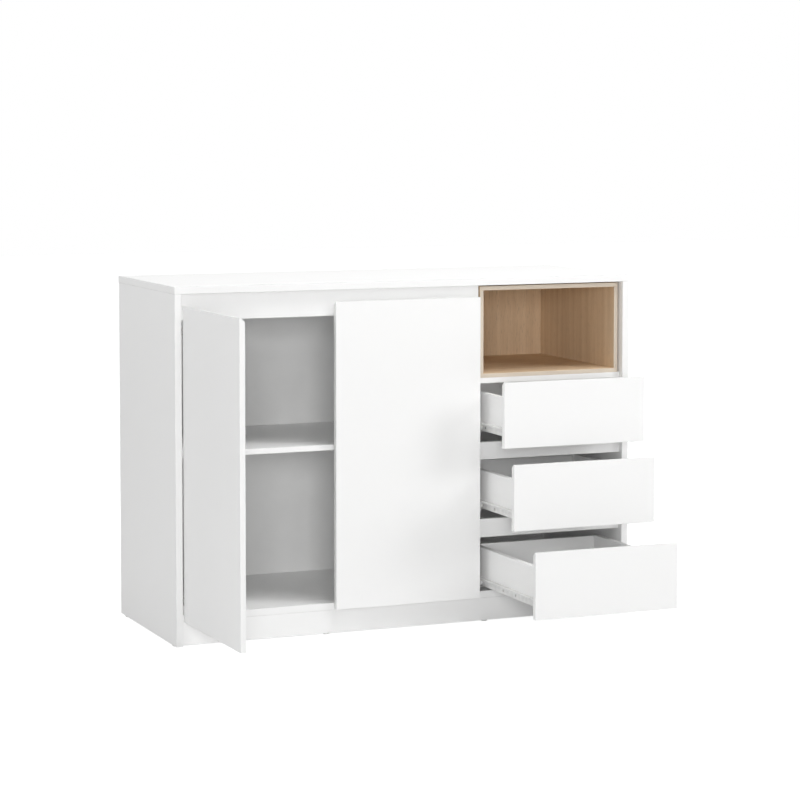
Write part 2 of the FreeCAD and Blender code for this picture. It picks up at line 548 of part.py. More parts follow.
def make_drawer(level, bottom):
    """One drawer, closed: its front, box, slides and rollers."""
    name = level + "_drawer_"
    beveled_front(name + "front", DRAWER_LEFT, DRAWER_RIGHT, bottom, bottom + DRAWER_FRONT_HEIGHT)
    front = FRONT + THIN_BOARD
    back = front + DRAWER_LENGTH
    low = bottom + DRAWER_SIDE_LIFT
    high = low + DRAWER_SIDE_HEIGHT
    outer_left = PARTITION_RIGHT + SLIDE_SPACE
    outer_right = INNER_RIGHT - SLIDE_SPACE
    inner_left = outer_left + THIN_BOARD
    inner_right = outer_right - THIN_BOARD
    sheet = low + DRAWER_PANEL_LIFT
    board(name + "left_side", outer_left, inner_left, front, back, low, high)
    board(name + "right_side", inner_right, outer_right, front, back, low, high)
    board(name + "back", inner_left, inner_right, back - THIN_BOARD, back,
          sheet + BACK_BOARD + 0.2, high - 2)
    board(name + "bottom", inner_left - GROOVE_DEPTH + 0.2, inner_right + GROOVE_DEPTH - 0.2,
          front + 0.2, back - 0.5, sheet, sheet + BACK_BOARD)
    for side, edge in (("left_side", inner_left), ("right_side", inner_right)):
        way = X_AXIS if side == "left_side" else X_AXIS * -1
        drill(name + side, box(edge - GROOVE_DEPTH, edge + GROOVE_DEPTH, front - 1, back + 1,
                               sheet - 0.1, sheet + BACK_BOARD + 0.1))
        middle_x = edge - way.x * THIN_BOARD / 2
        cam_joint(name + "fittings", name + side, name + "front",
                  Vector(middle_x, front, low + 50), Y_AXIS * -1, way, reach=24, thread=8.5)
        for height in (30, 62):
            seat = Vector(edge - way.x * (THIN_BOARD - 0.4), back - THIN_BOARD / 2, low + height)
            shank = rod(seat, way, 40, 2.2)
            head = rod(seat, way, 3, 3.6)
            add(name + "fittings", head.fuse(shank).removeSplitter())
            tools = [rod(seat - way, way, 41.2, 2.2 + DRILL_PLAY),
                     rod(seat - way, way, 4.1, 3.6 + DRILL_PLAY)]
            drill(name + side, *tools)
            drill(name + "back", *tools)

    axis_z = low + SLIDE_AXIS_LIFT
    fixed = cabinet_member(axis_z)
    moving = drawer_member(axis_z, low)
    for y in (FRAME_FRONT + 42, FRAME_FRONT + 170, FRAME_FRONT + 300):
        seat = Vector(PARTITION_RIGHT + STEEL, y, axis_z)
        hole = rod(seat + X_AXIS, X_AXIS * -1, 12.2, 1.6 + ROLLER_PLAY)
        pan = rod(seat, X_AXIS, 1.2, 3.2).fuse(rod(seat, X_AXIS * -1, 11, 1.6)).removeSplitter()
        fixed = fixed.cut(hole)
        add("carcass_screws_and_nails", pan, other_side(pan))
        drill("centre_partition", hole)
        drill("right_side_panel", other_side(hole))
    for y in (front + 108, front + 170, front + 290):
        seat = Vector(outer_left - STEEL, y, axis_z - 2)
        hole = rod(seat - X_AXIS, X_AXIS, 12.2, 1.6 + ROLLER_PLAY)
        pan = rod(seat, X_AXIS * -1, 1.0, 3.0).fuse(rod(seat, X_AXIS, 11, 1.6)).removeSplitter()
        moving = moving.cut(hole)
        add(name + "fittings", pan, other_side(pan))
        drill(name + "left_side", hole)
        drill(name + "right_side", other_side(hole))
    add("cabinet_slide_rails", fixed, other_side(fixed))
    add(name + "slide_rails", moving, other_side(moving))

    front_wheel = roller(PARTITION_RIGHT + 4.8, FRAME_FRONT + 11, axis_z, 5.6, FRONT_ROLLER_RADIUS)
    rear_wheel = roller(PARTITION_RIGHT + 2.8, back - 10, axis_z, 4.8, REAR_ROLLER_RADIUS)
    add(level + "_front_rollers", front_wheel, other_side(front_wheel))
    add(level + "_rear_rollers", rear_wheel, other_side(rear_wheel))


# ---------------------------------------------------------------- stored pose and export
def pose_left_door():
    """Swing the left door open, and its hinge links by their share."""
    for name, degrees in (
        ("left_door_panel", LEFT_DOOR_OPEN),
        ("left_hinge_cups", LEFT_DOOR_OPEN),
        ("left_hinge_links", LEFT_DOOR_OPEN * LINK_SHARE),
    ):
        turn = FreeCAD.Placement(Vector(0, 0, 0), FreeCAD.Rotation(Z_AXIS, -degrees), LEFT_PIVOT)
        move_node(name, turn)


def pose_drawers():
    """Pull each drawer out by its own distance."""
    for level, distance in PULLED_OUT.items():
        for name in list(nodes):
            if name.startswith((level + "_drawer_", level + "_rear_rollers")):
                move_node(name, FreeCAD.Placement(Vector(0, -distance, 0), FreeCAD.Rotation()))


def export_nodes():
    os.makedirs("parts", exist_ok=True)
    for name, solids in nodes.items():
        shapes = []
        for shape in solids:
            shapes.extend(shape.Solids)
        for solid in shapes:
            if not solid.isValid() or solid.Volume <= 0:
                raise ValueError(name + " has a bad solid")
        whole = shapes[0] if len(shapes) == 1 else Part.makeCompound(shapes)
        whole.exportStep("parts/" + name + ".step")
        print(name, len(shapes), round(sum(s.Volume for s in shapes) / 1000, 1), "cm3")


make_carcass_boards()
make_niche()
join_carcass()
make_shelf_pins()
make_back()
make_glides()
make_door("left", LEFT_DOOR_LEFT)
make_door("right", RIGHT_DOOR_LEFT)
for drawer_level, drawer_bottom in DRAWERS.items():
    make_drawer(drawer_level, drawer_bottom)
pose_left_door()
pose_drawers()
export_nodes()
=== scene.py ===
import json
import math

import bmesh
import bpy
import numpy as np
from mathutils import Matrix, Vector


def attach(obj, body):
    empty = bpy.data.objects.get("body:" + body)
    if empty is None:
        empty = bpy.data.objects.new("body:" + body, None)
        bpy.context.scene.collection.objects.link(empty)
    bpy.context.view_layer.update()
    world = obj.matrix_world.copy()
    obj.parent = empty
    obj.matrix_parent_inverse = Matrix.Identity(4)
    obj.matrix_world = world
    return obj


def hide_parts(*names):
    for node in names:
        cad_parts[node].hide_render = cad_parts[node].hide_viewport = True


bl_info = {
    "name": "Sideboard Looks",
    "version": (1, 0, 0),
    "blender": (4, 5, 0),
    "location": "3D View > Sidebar > Sideboard",
    "description": "Boards, oak lining, hinges, slides and fasteners of a sideboard with a niche and three drawers",
    "category": "Object",
}

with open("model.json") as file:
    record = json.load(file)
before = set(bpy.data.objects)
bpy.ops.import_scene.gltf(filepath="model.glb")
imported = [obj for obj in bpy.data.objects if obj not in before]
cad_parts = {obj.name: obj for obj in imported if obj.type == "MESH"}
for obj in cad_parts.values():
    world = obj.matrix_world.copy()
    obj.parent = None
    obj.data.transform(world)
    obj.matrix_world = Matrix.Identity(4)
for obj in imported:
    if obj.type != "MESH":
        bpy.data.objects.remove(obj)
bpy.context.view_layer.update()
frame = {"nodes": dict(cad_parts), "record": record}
BODY_OF = {node: body for body, nodes in frame["record"]["behaviour"]["bodies"].items() for node in nodes}

SLOT_OF = {part["node"]: part["material_slot"] for part in frame["record"]["subparts"]}
WHITE_BOARDS = sorted(node for node, slot in SLOT_OF.items() if slot == "white_board")
OAK_BOARDS = {"niche_left_wall": "oak_upright", "niche_right_wall": "oak_upright", "niche_back": "oak_rear",
              "niche_floor": "oak_lying", "niche_roof": "oak_lying"}
HARDBOARD = sorted(node for node, slot in SLOT_OF.items() if slot == "hardboard")
HINGE_NODES = ["hinge_arms", "left_hinge_cups", "left_hinge_links", "right_hinge_cups", "right_hinge_links"]
SLIDE_NODES = sorted(node for node in SLOT_OF if node.endswith("slide_rails"))
ROLLER_NODES = sorted(node for node in SLOT_OF if node.endswith("_rollers"))

# Cleaning and rounding the CAD meshes, in metres and degrees.
WELD_DISTANCE = 2e-6
FLAT_ANGLE = 0.4
SHARP_ANGLE = 40.0
SHORTEST_BOARD_EDGE = 0.006
SHORTEST_HINGE_EDGE = 0.0015
SHORTEST_RAIL_EDGE = 0.004
BOARD_SMOOTH = 50.0
METAL_SMOOTH = 32.0

# What tells a headed screw or nail from other solids, in metres.
WIDEST_HEAD = 0.0045
LEAST_OVERHANG = 0.0004
SHORTEST_FASTENER = 0.008
END_DEPTH = 5e-5
RIM_SHARE = 0.95
THICKEST_NAIL = 0.001
TWIST_SEED = 7

# Rows of punched slots: height over the rail's lowest edge, and bare length at the front and at the rear.
CABINET_SLOTS = (0.0161, 0.034, 0.02)
DRAWER_SLOTS = (0.0132, 0.028, 0.03)
BAY_MIDDLE = 0.34
SLOT_REACH = 0.5

# The studio, in metres and degrees.
FLOOR_HALF = 14.0
FLOOR_LEVEL = -0.0005
LIT_POINT = Vector((0.1, -0.2, 0.4))
CAMERA_PLACE = (-2.1356, -5.2140, 1.1089)
CAMERA_DIP = 3.755
CAMERA_TURN = -22.846


# ---------------------------------------------------------------- settings a user would change
class SideboardFinish(bpy.types.PropertyGroup):
    """Colours and surface qualities."""
    white: bpy.props.FloatVectorProperty(
        name="White facing", description="Colour of the melamine-faced boards", subtype="COLOR",
        default=(0.93, 0.93, 0.925), size=3, min=0, max=1)
    white_roughness: bpy.props.FloatProperty(
        name="White roughness", description="How matt the melamine facing is", default=0.42, min=0, max=1)
    oak_light: bpy.props.FloatVectorProperty(
        name="Oak light", description="Oak between its growth lines", subtype="COLOR",
        default=(0.82, 0.64, 0.445), size=3, min=0, max=1)
    oak_dark: bpy.props.FloatVectorProperty(
        name="Oak dark", description="Oak in its growth lines", subtype="COLOR",
        default=(0.64, 0.465, 0.30), size=3, min=0, max=1)
    # Paler colour for the oak faces turned to the front, chosen by facing direction alone.
    oak_front_pale: bpy.props.FloatVectorProperty(
        name="Oak banding", description="Paler strip along the front edges of the oak boards", subtype="COLOR",
        default=(0.70, 0.64, 0.555), size=3, min=0, max=1)
    raw_hardboard: bpy.props.FloatVectorProperty(
        name="Raw hardboard", description="Uncoated rear face of the back panels", subtype="COLOR",
        default=(0.27, 0.17, 0.095), size=3, min=0, max=1)
    nickel: bpy.props.FloatVectorProperty(
        name="Nickel", description="Plating of the hinges, pins and screws", subtype="COLOR",
        default=(0.66, 0.65, 0.63), size=3, min=0, max=1)
    zinc: bpy.props.FloatVectorProperty(
        name="Zinc", description="Die-cast cams", subtype="COLOR", default=(0.48, 0.49, 0.50), size=3, min=0, max=1)
    slide_coat: bpy.props.FloatVectorProperty(
        name="Slide coating", description="Baked coating of the roller slides", subtype="COLOR",
        default=(0.80, 0.80, 0.79), size=3, min=0, max=1)
    nylon: bpy.props.FloatVectorProperty(
        name="Nylon", description="Rollers", subtype="COLOR", default=(0.78, 0.78, 0.76), size=3, min=0, max=1)
    beech: bpy.props.FloatVectorProperty(
        name="Beech", description="Dowels", subtype="COLOR", default=(0.62, 0.44, 0.27), size=3, min=0, max=1)


class SideboardSizes(bpy.types.PropertyGroup):
    """Sizes of the small shapes that the looks add."""
    edge_radius: bpy.props.FloatProperty(
        name="Edge radius", description="Rounding along the edges of the boards", subtype="DISTANCE", unit="LENGTH",
        default=0.0006, min=0.0001, max=0.002)
    metal_edge: bpy.props.FloatProperty(
        name="Metal edge", description="Rounding along the edges of pressed metal", subtype="DISTANCE",
        unit="LENGTH", default=0.00015, min=0.00005, max=0.0005)
    dome: bpy.props.FloatProperty(
        name="Head dome", description="How far a pan head's crown stands over its rim, as a share of its height",
        subtype="FACTOR", default=0.45, min=0, max=1)
    recess: bpy.props.FloatProperty(
        name="Recess width", description="Span of a screw's cross recess, as a share of the head's radius",
        subtype="FACTOR", default=0.62, min=0.2, max=0.9)
    slot_length: bpy.props.FloatProperty(
        name="Slot length", description="Length of the punched slots in the roller slides", subtype="DISTANCE",
        unit="LENGTH", default=0.012, min=0.004, max=0.02)
    slot_width: bpy.props.FloatProperty(
        name="Slot width", description="Width of those slots", subtype="DISTANCE", unit="LENGTH",
        default=0.003, min=0.001, max=0.004)
    slot_pitch: bpy.props.FloatProperty(
        name="Slot pitch", description="Distance between the punched slots", subtype="DISTANCE", unit="LENGTH",
        default=0.048, min=0.02, max=0.1)


class SideboardStage(bpy.types.PropertyGroup):
    """Floor, lights and camera."""
    backdrop: bpy.props.FloatProperty(
        name="Backdrop", description="Brightness of the white surroundings where they are seen", default=1.0,
        min=0, max=10)
    from_left: bpy.props.FloatProperty(
        name="From the left", description="Brightness of the surroundings at the left", default=0.73, min=0, max=10)
    from_right: bpy.props.FloatProperty(
        name="From the right", description="Brightness of the surroundings at the right", default=0.10, min=0, max=10)
    from_front: bpy.props.FloatProperty(
        name="From the front", description="Brightness of the surroundings in front", default=0.02, min=0, max=10)
    from_behind: bpy.props.FloatProperty(
        name="From behind", description="Brightness of the surroundings behind", default=1.22, min=0, max=10)
    from_above: bpy.props.FloatProperty(
        name="From above", description="Brightness of the surroundings overhead", default=0.02, min=0, max=10)
    floor_glow: bpy.props.FloatProperty(
        name="Floor glow", description="Light that the lit-through floor gives off", default=0.06, min=0, max=5)
    floor_shown: bpy.props.FloatProperty(
        name="Floor shown", description="The same glow where the floor is looked at", default=0.82, min=0, max=5)
    key: bpy.props.FloatProperty(
        name="Key light", description="Power of the soft light at the right", subtype="POWER", unit="POWER",
        default=40.0, min=0, max=5000)
    front_light: bpy.props.FloatProperty(
        name="Front light", description="Power of the soft light beside the camera", subtype="POWER", unit="POWER",
        default=114.0, min=0, max=5000)
    top_light: bpy.props.FloatProperty(
        name="Top light", description="Power of the soft light overhead", subtype="POWER", unit="POWER",
        default=82.0, min=0, max=5000)
    lens: bpy.props.FloatProperty(
        name="Lens", description="Focal length of the camera", subtype="DISTANCE_CAMERA", unit="CAMERA",
        default=115.47, min=20, max=300)


SETTINGS = ((SideboardFinish, "sideboard_finish"), (SideboardSizes, "sideboard_sizes"),
            (SideboardStage, "sideboard_stage"))


def rgba(colour, gain=1.0):
    """A colour property as four numbers, made lighter or darker by gain."""
    return (*(min(1.0, c * gain) for c in colour), 1.0)


# ---------------------------------------------------------------- shader groups
def new_group(name, inputs, outputs):
    """An empty shader group with the sockets named; inputs is (name, type, default)."""
    group = bpy.data.node_groups.new(name, "ShaderNodeTree")
    for label, kind, default in inputs:
        socket = group.interface.new_socket(label, in_out="INPUT", socket_type=kind)
        if default is not None:
            socket.default_value = default
    for label, kind in outputs:
        group.interface.new_socket(label, in_out="OUTPUT", socket_type=kind)
    return group, group.nodes.new("NodeGroupInput"), group.nodes.new("NodeGroupOutput")


def remap(nodes, links, value, low, high, start=0.0, end=1.0):
    """A Map Range node that turns start..end into low..high."""
    node = nodes.new("ShaderNodeMapRange")
    links.new(value, node.inputs["Value"])
    for label, number in (("From Min", start), ("From Max", end), ("To Min", low), ("To Max", high)):
        if isinstance(number, bpy.types.NodeSocket):
            links.new(number, node.inputs[label])
        else:
            node.inputs[label].default_value = number
    return node.outputs["Result"]


def noise(nodes, links, vector, scale, detail=3.0, roughness=0.5):
    node = nodes.new("ShaderNodeTexNoise")
    node.inputs["Detail"].default_value = detail
    node.inputs["Roughness"].default_value = roughness
    links.new(vector, node.inputs["Vector"])
    if isinstance(scale, bpy.types.NodeSocket):
        links.new(scale, node.inputs["Scale"])
    else:
        node.inputs["Scale"].default_value = scale
    return node.outputs["Fac"]


def arithmetic(nodes, links, operation, first, second):
    node = nodes.new("ShaderNodeMath")
    node.operation = operation
    for socket, value in zip(node.inputs, (first, second)):
        if isinstance(value, bpy.types.NodeSocket):
            links.new(value, socket)
        else:
            socket.default_value = value
    return node.outputs[0]


def vector_step(nodes, links, operation, first, second):
    node = nodes.new("ShaderNodeVectorMath")
    node.operation = operation
    links.new(first, node.inputs[0])
    node.inputs[1].default_value = second
    return node.outputs["Value" if operation == "DOT_PRODUCT" else "Vector"]


def blend_colours(nodes, links, factor, first, second, mode="MIX"):
    node = nodes.new("ShaderNodeMix")
    node.data_type = "RGBA"
    node.blend_type = mode
    for socket, value in ((node.inputs["Factor"], factor), (node.inputs[6], first), (node.inputs[7], second)):
        if isinstance(value, bpy.types.NodeSocket):
            links.new(value, socket)
        else:
            socket.default_value = value
    return node.outputs[2]


def mottle_group():
    """Soft cloudy unevenness with a fine grain on top, for coatings and plating."""
    group, into, out = new_group(
        "Mottle",
        [("Vector", "NodeSocketVector", None), ("Cloud Scale", "NodeSocketFloat", 7.0),
         ("Grain Scale", "NodeSocketFloat", 900.0), ("Low", "NodeSocketFloat", 0.4),
         ("High", "NodeSocketFloat", 0.5)],
        [("Value", "NodeSocketFloat"), ("Height", "NodeSocketFloat"), ("Cloud", "NodeSocketFloat")])
    n, l = group.nodes, group.links
    cloud = noise(n, l, into.outputs["Vector"], into.outputs["Cloud Scale"], 2.0)
    grain = noise(n, l, into.outputs["Vector"], into.outputs["Grain Scale"], 2.0, 0.6)
    both = arithmetic(n, l, "ADD", arithmetic(n, l, "MULTIPLY", cloud, 0.7), arithmetic(n, l, "MULTIPLY", grain, 0.3))
    l.new(remap(n, l, both, into.outputs["Low"], into.outputs["High"], 0.3, 0.7), out.inputs["Value"])
    l.new(grain, out.inputs["Height"])
    l.new(remap(n, l, cloud, 0.0, 1.0, 0.3, 0.7), out.inputs["Cloud"])
    return group


def edge_rub_group():
    """Edges that handling has dulled a little, broken up by noise; Mask is 1 on an edge."""
    group, into, out = new_group(
        "Edge Rub",
        [("Vector", "NodeSocketVector", None), ("Edge", "NodeSocketFloat", 0.0),
         ("Colour", "NodeSocketColor", (1, 1, 1, 1)), ("Rubbed", "NodeSocketColor", (0.6, 0.6, 0.6, 1)),
         ("Amount", "NodeSocketFloat", 0.3)],
        [("Colour", "NodeSocketColor"), ("Mask", "NodeSocketFloat")])
    n, l = group.nodes, group.links
    patches = remap(n, l, noise(n, l, into.outputs["Vector"], 45.0, 4.0), 0.25, 1.0, 0.35, 0.65)
    mask = arithmetic(n, l, "MULTIPLY", into.outputs["Edge"], patches)
    strength = arithmetic(n, l, "MULTIPLY", mask, into.outputs["Amount"])
    l.new(blend_colours(n, l, strength, into.outputs["Colour"], into.outputs["Rubbed"]), out.inputs["Colour"])
    l.new(mask, out.inputs["Mask"])
    return group


def dust_group():
    """A thin film of dust on faces that look up."""
    group, into, out = new_group(
        "Dust",
        [("Vector", "NodeSocketVector", None), ("Normal", "NodeSocketVector", None),
         ("Colour", "NodeSocketColor", (1, 1, 1, 1)), ("Roughness", "NodeSocketFloat", 0.4),
         ("Amount", "NodeSocketFloat", 0.1)],
        [("Colour", "NodeSocketColor"), ("Roughness", "NodeSocketFloat")])
    n, l = group.nodes, group.links
    parts = n.new("ShaderNodeSeparateXYZ")
    l.new(into.outputs["Normal"], parts.inputs[0])
    up = remap(n, l, parts.outputs["Z"], 0.0, 1.0, 0.7, 1.0)
    specks = remap(n, l, noise(n, l, into.outputs["Vector"], 160.0, 5.0, 0.7), 0.0, 1.0, 0.42, 0.7)
    film = arithmetic(n, l, "MULTIPLY", arithmetic(n, l, "MULTIPLY", up, specks), into.outputs["Amount"])
    l.new(blend_colours(n, l, film, into.outputs["Colour"], (0.55, 0.53, 0.50, 1.0)), out.inputs["Colour"])
    rough = arithmetic(n, l, "ADD", into.outputs["Roughness"], arithmetic(n, l, "MULTIPLY", film, 0.8))
    l.new(rough, out.inputs["Roughness"])
    return group


def wood_group():
    """Sawn grain that runs along Z of its vector: growth lines, fine fibres and short dark pores."""
    group, into, out = new_group(
        "Wood Grain",
        [("Vector", "NodeSocketVector", None), ("Light", "NodeSocketColor", (0.6, 0.43, 0.27, 1)),
         ("Dark", "NodeSocketColor", (0.46, 0.31, 0.18, 1)), ("Lines", "NodeSocketFloat", 60.0),
         ("Pores", "NodeSocketFloat", 0.5)],
        [("Colour", "NodeSocketColor"), ("Roughness", "NodeSocketFloat"), ("Height", "NodeSocketFloat")])
    n, l = group.nodes, group.links

    def stretched(along):
        mapping = n.new("ShaderNodeMapping")
        mapping.inputs["Scale"].default_value = (1.0, 1.0, along)
        l.new(into.outputs["Vector"], mapping.inputs["Vector"])
        return mapping.outputs["Vector"]

    bands = noise(n, l, stretched(0.035), into.outputs["Lines"], 5.0, 0.62)
    fibres = noise(n, l, stretched(0.012), 520.0, 3.0, 0.6)
    pores = noise(n, l, stretched(0.05), 1100.0, 2.0, 0.5)
    broad = noise(n, l, stretched(0.15), 9.0, 2.0)
    lines = remap(n, l, bands, 0.0, 1.0, 0.36, 0.66)
    fine = remap(n, l, fibres, 0.0, 1.0, 0.3, 0.7)
    pits = arithmetic(n, l, "MULTIPLY", remap(n, l, pores, 0.0, 1.0, 0.60, 0.70), into.outputs["Pores"])
    tone = arithmetic(n, l, "ADD", arithmetic(n, l, "MULTIPLY", lines, 0.55), arithmetic(n, l, "MULTIPLY", fine, 0.25))
    tone = arithmetic(n, l, "ADD", tone, arithmetic(n, l, "MULTIPLY", broad, 0.3))
    shade = blend_colours(n, l, tone, into.outputs["Light"], into.outputs["Dark"])
    shade = blend_colours(n, l, arithmetic(n, l, "MULTIPLY", pits, 0.55), shade, (0.16, 0.10, 0.06, 1.0))
    l.new(shade, out.inputs["Colour"])
    l.new(remap(n, l, tone, 0.48, 0.62), out.inputs["Roughness"])
    l.new(arithmetic(n, l, "SUBTRACT", arithmetic(n, l, "MULTIPLY", fine, 0.35), pits), out.inputs["Height"])
    return group


# ---------------------------------------------------------------- materials
def new_material(name):
    """A new material's node tree, Principled shader and Texture Coordinate node."""
    material = bpy.data.materials.new(name)
    material.use_nodes = True
    tree = material.node_tree
    tree.nodes.clear()
    out = tree.nodes.new("ShaderNodeOutputMaterial")
    shader = tree.nodes.new("ShaderNodeBsdfPrincipled")
    tree.links.new(shader.outputs[0], out.inputs["Surface"])
    coords = tree.nodes.new("ShaderNodeTexCoord")
    return tree, shader, coords


def place_group(tree, name, **values):
    """Put a shared group in a material and set or link its inputs."""
    node = tree.nodes.new("ShaderNodeGroup")
    node.node_tree = bpy.data.node_groups[name]
    for label, value in values.items():
        socket = node.inputs[label.replace("_", " ")]
        if isinstance(value, bpy.types.NodeSocket):
            tree.links.new(value, socket)
        else:
            socket.default_value = value
    return node


def add_bump(tree, shader, height, distance):
    bump = tree.nodes.new("ShaderNodeBump")
    bump.inputs["Distance"].default_value = distance
    bump.inputs["Strength"].default_value = 1.0
    tree.links.new(height, bump.inputs["Height"])
    tree.links.new(bump.outputs["Normal"], shader.inputs["Normal"])


def edge_mask(tree):
    attribute = tree.nodes.new("ShaderNodeAttribute")
    attribute.attribute_name = "edge"
    return attribute.outputs["Fac"]


def make_white_board(finish):
    """Satin white melamine with a faint orange peel, dulled edges and a little dust."""
    tree, shader, coords = new_material("white_melamine")
    where = coords.outputs["Object"]
    mottle = place_group(tree, "Mottle", Vector=where, Cloud_Scale=5.0, Grain_Scale=700.0,
                         Low=finish.white_roughness - 0.01, High=finish.white_roughness + 0.01)
    tint = blend_colours(tree.nodes, tree.links, mottle.outputs["Cloud"],
                         rgba(finish.white, 0.998), rgba(finish.white, 1.002))
    rub = place_group(tree, "Edge Rub", Vector=where, Edge=edge_mask(tree), Colour=tint,
                      Rubbed=rgba(finish.white, 0.72), Amount=0.5)
    dust = place_group(tree, "Dust", Vector=where, Normal=coords.outputs["Normal"], Colour=rub.outputs["Colour"],
                       Roughness=mottle.outputs["Value"], Amount=0.05)
    tree.links.new(dust.outputs["Colour"], shader.inputs["Base Color"])
    tree.links.new(dust.outputs["Roughness"], shader.inputs["Roughness"])
    add_bump(tree, shader, mottle.outputs["Height"], 0.00001)


def make_oak(finish, name, turn, front_paling):
    """Matt oak facing; turn rotates the grain, which otherwise runs upwards, and front_paling makes the faces turned
    to the front paler.
    """
    tree, shader, coords = new_material(name)
    n, l = tree.nodes, tree.links
    mapping = n.new("ShaderNodeMapping")
    mapping.inputs["Rotation"].default_value = turn
    l.new(coords.outputs["Object"], mapping.inputs["Vector"])
    wood = place_group(tree, "Wood Grain", Vector=mapping.outputs["Vector"], Light=rgba(finish.oak_light),
                       Dark=rgba(finish.oak_dark), Lines=70.0, Pores=0.6)
    parts = n.new("ShaderNodeSeparateXYZ")
    l.new(coords.outputs["Normal"], parts.inputs[0])
    # Faces whose normal turns to the front (-Y) get a paler colour, by the share front_paling.
    front_facing_mask = remap(n, l, parts.outputs["Y"], front_paling, 0.0, -0.8, -0.6)
    faced = blend_colours(n, l, front_facing_mask, wood.outputs["Colour"], rgba(finish.oak_front_pale))
    rub = place_group(tree, "Edge Rub", Vector=coords.outputs["Object"], Edge=edge_mask(tree), Colour=faced,
                      Rubbed=rgba(finish.oak_light, 1.1), Amount=0.3)
    l.new(rub.outputs["Colour"], shader.inputs["Base Color"])
    l.new(wood.outputs["Roughness"], shader.inputs["Roughness"])
    add_bump(tree, shader, wood.outputs["Height"], 0.00012)


def make_hardboard(finish):
    """White lacquer towards the inside and raw brown fibre towards the rear."""
    tree, shader, coords = new_material("pressed_fibre")
    n, l = tree.nodes, tree.links
    where = coords.outputs["Object"]
    parts = n.new("ShaderNodeSeparateXYZ")
    l.new(coords.outputs["Normal"], parts.inputs[0])
    rear = remap(n, l, parts.outputs["Y"], 0.0, 1.0, 0.4, 0.6)
    mottle = place_group(tree, "Mottle", Vector=where, Cloud_Scale=14.0, Grain_Scale=520.0, Low=0.5, High=0.62)
    fibres = noise(n, l, where, 260.0, 6.0, 0.75)
    raw = blend_colours(n, l, remap(n, l, fibres, 0.0, 1.0, 0.35, 0.65),
                        rgba(finish.raw_hardboard, 0.8), rgba(finish.raw_hardboard, 1.35))
    faced = blend_colours(n, l, mottle.outputs["Cloud"], rgba(finish.white, 0.95), rgba(finish.white, 0.985))
    l.new(blend_colours(n, l, rear, faced, raw), shader.inputs["Base Color"])
    l.new(remap(n, l, rear, mottle.outputs["Value"], 0.8), shader.inputs["Roughness"])
    add_bump(tree, shader, arithmetic(n, l, "MULTIPLY", fibres, rear), 0.0004)


def make_metal(name, colour, low, high, metallic, grain, bump):
    """Plated, cast or coated metal."""
    tree, shader, coords = new_material(name)
    where = coords.outputs["Object"]
    mottle = place_group(tree, "Mottle", Vector=where, Cloud_Scale=60.0, Grain_Scale=grain, Low=low, High=high)
    tint = blend_colours(tree.nodes, tree.links, mottle.outputs["Cloud"], rgba(colour, 0.9), rgba(colour, 1.06))
    rub = place_group(tree, "Edge Rub", Vector=where, Edge=edge_mask(tree), Colour=tint,
                      Rubbed=rgba(colour, 1.25), Amount=0.5)
    tree.links.new(rub.outputs["Colour"], shader.inputs["Base Color"])
    tree.links.new(mottle.outputs["Value"], shader.inputs["Roughness"])
    shader.inputs["Metallic"].default_value = metallic
    add_bump(tree, shader, mottle.outputs["Height"], bump)


def make_plastic(name, colour, low, high):
    """Moulded plastic."""
    tree, shader, coords = new_material(name)
    mottle = place_group(tree, "Mottle", Vector=coords.outputs["Object"], Cloud_Scale=90.0, Grain_Scale=1400.0,
                         Low=low, High=high)
    tint = blend_colours(tree.nodes, tree.links, mottle.outputs["Cloud"], rgba(colour, 0.93), rgba(colour, 1.03))
    tree.links.new(tint, shader.inputs["Base Color"])
    tree.links.new(mottle.outputs["Value"], shader.inputs["Roughness"])
    shader.inputs["Subsurface Weight"].default_value = 0.04
    add_bump(tree, shader, mottle.outputs["Height"], 0.00003)


def make_beech(finish):
    """Raw dowel wood."""
    tree, shader, coords = new_material("raw_beech")
    wood = place_group(tree, "Wood Grain", Vector=coords.outputs["Object"], Light=rgba(finish.beech),
                       Dark=rgba(finish.beech, 0.8), Lines=300.0, Pores=0.2)
    tree.links.new(wood.outputs["Colour"], shader.inputs["Base Color"])
    tree.links.new(wood.outputs["Roughness"], shader.inputs["Roughness"])
    add_bump(tree, shader, wood.outputs["Height"], 0.0001)


def make_floor(stage):
    """Pale seamless floor, lit a little from within so that shadows on it stay soft."""
    tree, shader, coords = new_material("studio_floor")
    n, l = tree.nodes, tree.links
    mottle = place_group(tree, "Mottle", Vector=coords.outputs["Object"], Cloud_Scale=1.5, Grain_Scale=60.0,
                         Low=0.7, High=0.8)
    tint = blend_colours(n, l, mottle.outputs["Cloud"], (0.60, 0.60, 0.60, 1), (0.61, 0.61, 0.61, 1))
    seen = remap(n, l, n.new("ShaderNodeLightPath").outputs["Is Camera Ray"], stage.floor_glow, stage.floor_shown)
    l.new(seen, shader.inputs["Emission Strength"])
    shader.inputs["Emission Color"].default_value = (1, 1, 1, 1)
    l.new(tint, shader.inputs["Base Color"])
    l.new(mottle.outputs["Value"], shader.inputs["Roughness"])


# ---------------------------------------------------------------- mesh tools
def welded(node):
    """A clean copy of a CAD node's triangles, with the triangles of each flat face joined."""
    mesh = bmesh.new()
    mesh.from_mesh(frame["nodes"][node].data)
    bmesh.ops.remove_doubles(mesh, verts=mesh.verts, dist=WELD_DISTANCE)
    bmesh.ops.dissolve_limit(mesh, angle_limit=math.radians(FLAT_ANGLE), verts=mesh.verts, edges=mesh.edges)
    return mesh


def ease_edges(mesh, radius, shortest):
    """Round the outline edges that are at least shortest long, and mark the new faces as edge."""
    sharp = [e for e in mesh.edges if e.is_manifold and e.calc_face_angle(0) > math.radians(SHARP_ANGLE)
             and e.calc_length() >= shortest]
    layer = mesh.faces.layers.float.new("edge")
    made = bmesh.ops.bevel(mesh, geom=sharp, offset=radius, offset_type="OFFSET", segments=2, profile=0.5,
                           affect="EDGES", clamp_overlap=True)
    for face in made["faces"]:
        face[layer] = 1.0


